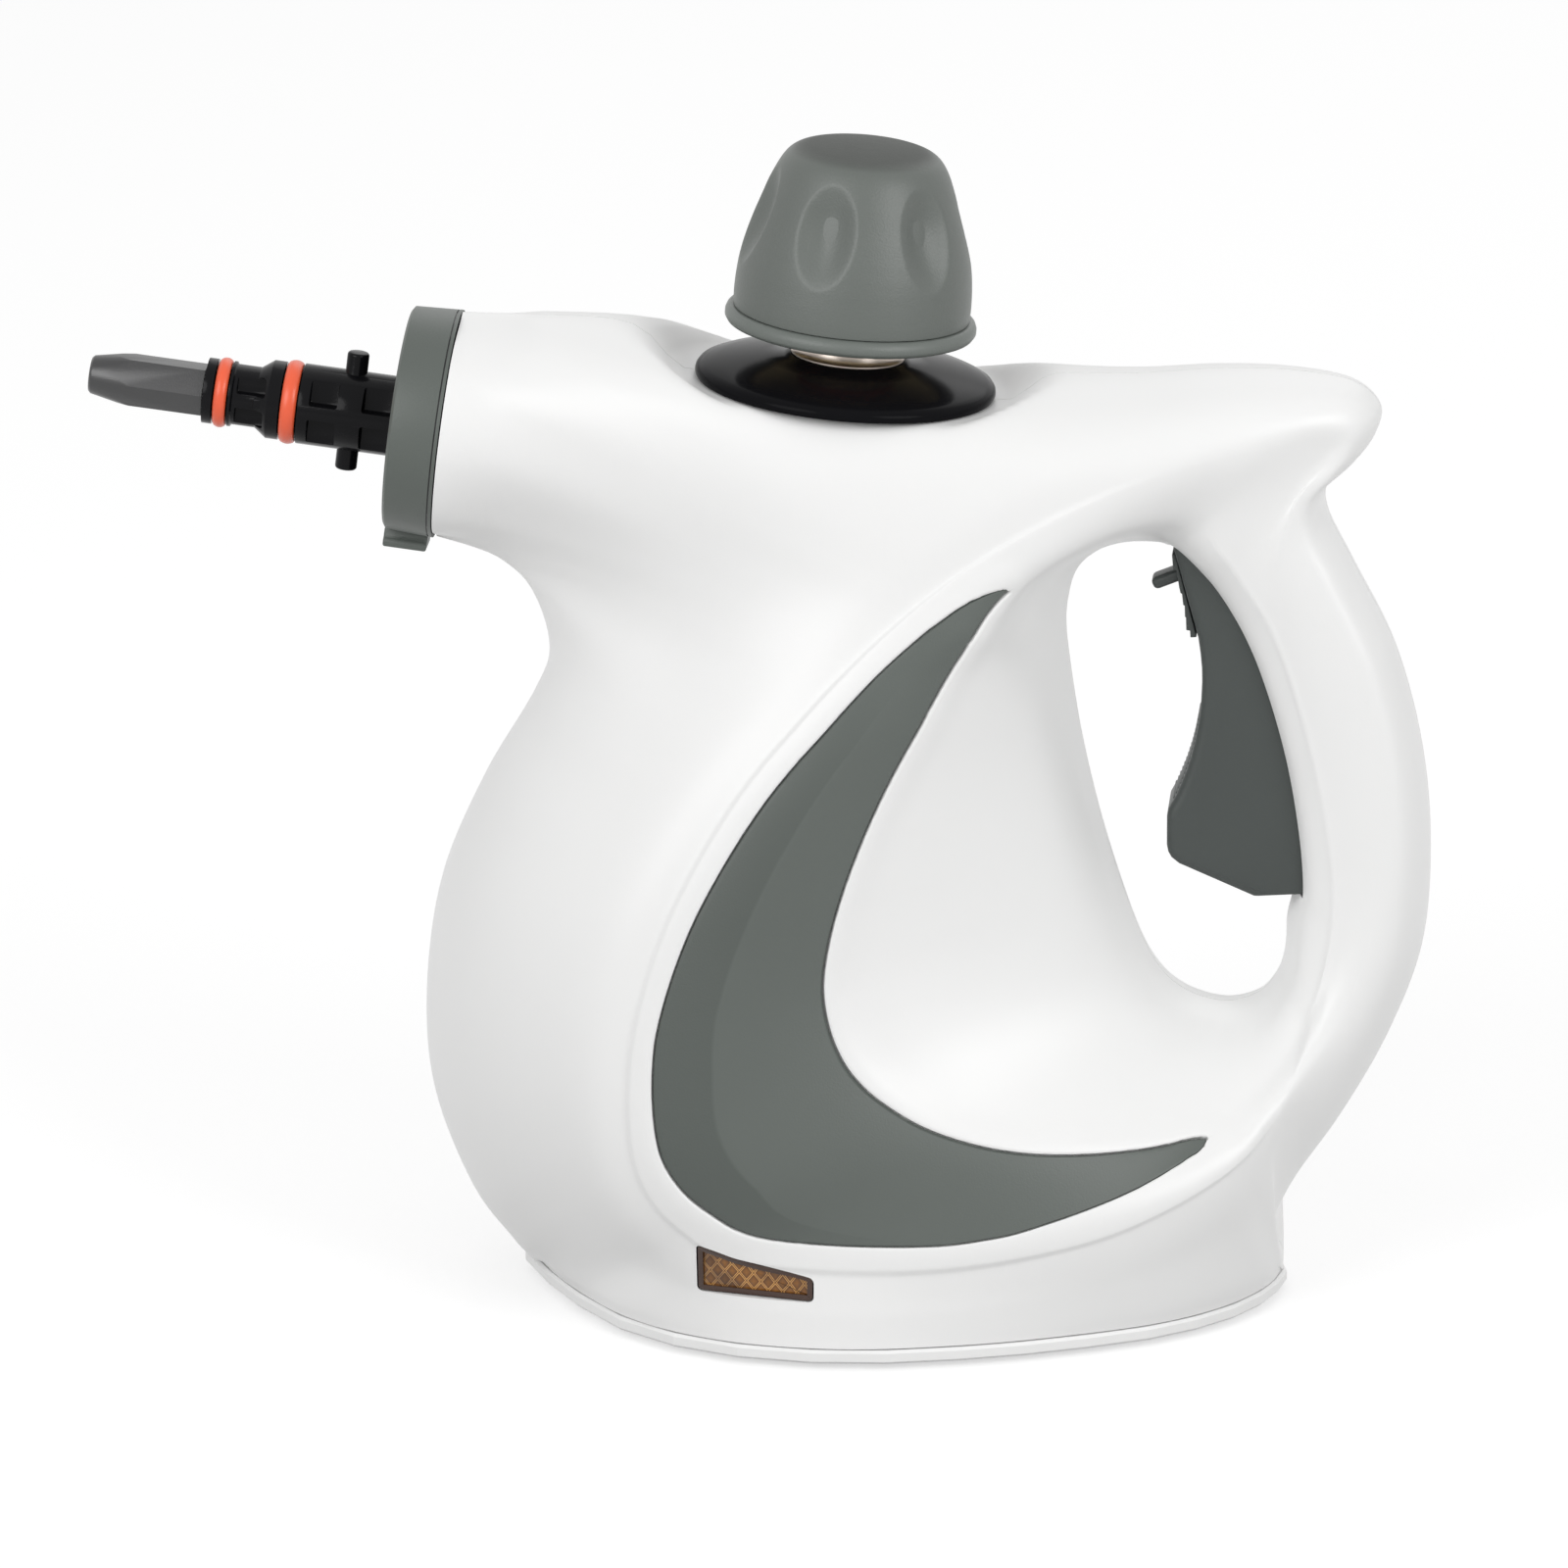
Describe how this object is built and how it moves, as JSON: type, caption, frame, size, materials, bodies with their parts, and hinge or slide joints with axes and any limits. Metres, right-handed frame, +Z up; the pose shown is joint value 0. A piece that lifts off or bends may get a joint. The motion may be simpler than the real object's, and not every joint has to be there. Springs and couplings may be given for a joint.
{
  "type": "handheld steam cleaner",
  "caption": "Handheld steam cleaner: kettle-shaped white body with a looped grip, trigger, screw cap on the filler, crescent side trims and a forward bayonet nozzle.",
  "frame": {"origin": "on the surface that the feet rest on, under the middle of the overall box", "axes": "+X towards the grip, -X towards the nozzle, +Z up, -Y the side with the lamp window"},
  "size_m": [0.2872, 0.1234, 0.2521],
  "materials": {
    "white_plastic": "satin",
    "grey_plastic": "fine satin grain",
    "dark_grey_plastic": "satin",
    "gloss_black": "polished",
    "satin_black": "satin",
    "orange_rubber": "smooth",
    "amber_plastic": "clear amber, patterned behind",
    "lamp_glow": "smooth",
    "black_rubber": "matt",
    "steel": "brushed",
    "brass": "turned",
    "aluminium": "cast",
    "cream_plastic": "moulded"
  },
  "bodies": {
    "body": {"base_plate": "white_plastic", "base_screw_1": "steel", "base_screw_2": "steel", "base_screw_3": "steel", "base_screw_4": "steel", "boiler": "steel", "boiler_cradle": "cream_plastic", "boiler_neck": "brass", "collar_ring": "grey_plastic", "feed_pipe": "brass", "filler_disc": "gloss_black", "foot_1": "black_rubber", "foot_2": "black_rubber", "foot_3": "black_rubber", "foot_4": "black_rubber", "grip_left": "white_plastic", "grip_right": "white_plastic", "heater_plate": "aluminium", "housing_left": "white_plastic", "housing_right": "white_plastic", "inlet_gland": "satin_black", "lamp": "lamp_glow", "lamp_lens": "amber_plastic", "nozzle_body": "gloss_black", "nozzle_seat": "satin_black", "nozzle_tip": "satin_black", "seal_large": "orange_rubber", "seal_small": "orange_rubber", "side_screw_1": "steel", "side_screw_2": "steel", "side_screw_3": "steel", "side_screw_4": "steel", "side_screw_5": "steel", "steam_pipe": "brass", "terminal_block": "cream_plastic", "thermal_fuse": "steel", "thermostat": "cream_plastic", "trigger_pin": "steel", "trigger_spring": "steel", "trim_left": "grey_plastic", "trim_right": "grey_plastic", "valve_body": "brass"},
    "cap_carrier": {"cap_seal": "orange_rubber"},
    "cap": {"cap_shell": "grey_plastic", "cap_rim": "grey_plastic", "cap_plug": "brass"},
    "trigger": {"trigger": "dark_grey_plastic"},
    "lock": {"lock_slider": "grey_plastic"},
    "valve": {"valve_stem": "steel"}
  },
  "joints": [
    {"name": "cap_lift", "type": "slide", "parent": "body", "child": "cap_carrier", "axis": [0.0837, 0, 0.9965], "range_m": [0, 0.0078]},
    {"name": "cap_turn", "type": "hinge", "parent": "cap_carrier", "child": "cap", "pos_m": [0.01809, 0, 0.20082], "axis": [0.0837, 0, 0.9965], "range_deg": [0, 900]},
    {"name": "trigger_pull", "type": "hinge", "parent": "body", "child": "trigger", "pos_m": [0.10095, 0, 0.17198], "axis": [0, -1, 0], "range_deg": [0, 7], "stiffness_Nm_per_rad": 4, "springref_deg": -2.29},
    {"name": "lock_slide", "type": "slide", "parent": "trigger", "child": "lock", "axis": [0, 0, -1], "range_m": [0, 0.004]},
    {"name": "valve_push", "type": "slide", "parent": "body", "child": "valve", "axis": [-1, 0, 0], "range_m": [0, 0.0022]}
  ],
  "couplings": [
    {"joint": "cap_lift", "follows": "cap_turn", "m_per_rad": 0.00047746},
    {"joint": "valve_push", "follows": "trigger_pull", "m_per_rad": 0.0165}
  ]
}
